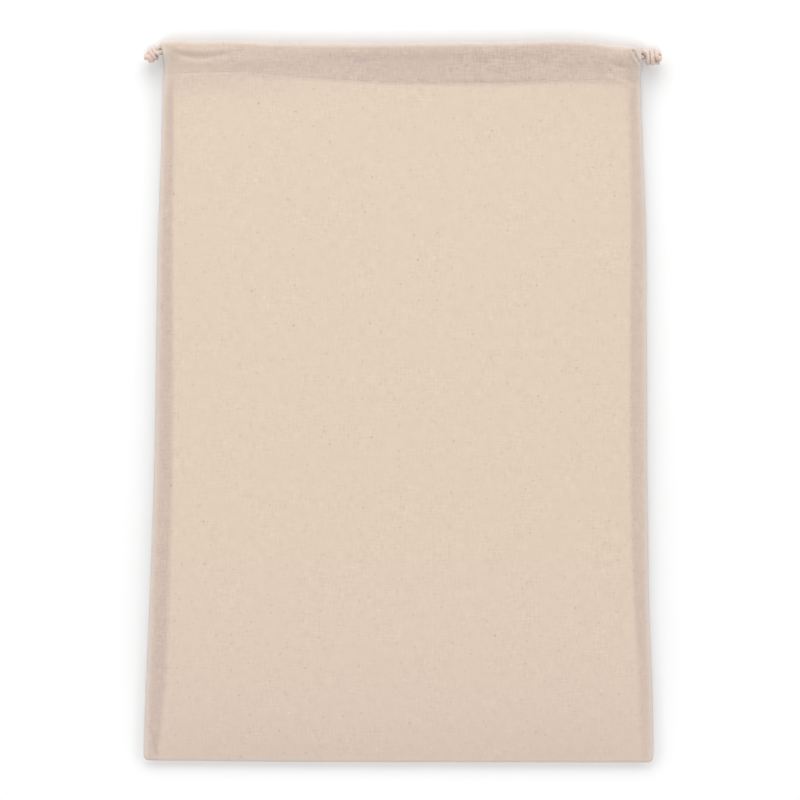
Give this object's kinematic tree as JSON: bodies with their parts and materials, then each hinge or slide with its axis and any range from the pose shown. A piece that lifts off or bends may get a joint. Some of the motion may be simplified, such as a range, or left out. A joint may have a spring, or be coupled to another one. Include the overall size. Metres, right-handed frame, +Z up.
{
  "type": "drawstring gift bag",
  "caption": "Empty cotton gift bag lying flat, with a folded bottom, sewn sides, a casing round its open mouth and a knotted drawstring at each end of the casing.",
  "frame": {"origin": "on the floor, under the middle of the bag's box", "axes": "+X to the right across the bag, +Y from the bottom fold to the mouth, +Z up out of the front face"},
  "size_m": [0.3212, 0.447, 0.0154],
  "materials": {
    "cotton_cloth": "matt plain weave, unbleached",
    "cotton_cord": "matt twisted cord, unbleached"
  },
  "bodies": {
    "root": {"bag_cloth": "cotton_cloth", "drawstring_left": "cotton_cord", "drawstring_right": "cotton_cord"}
  },
  "joints": []
}
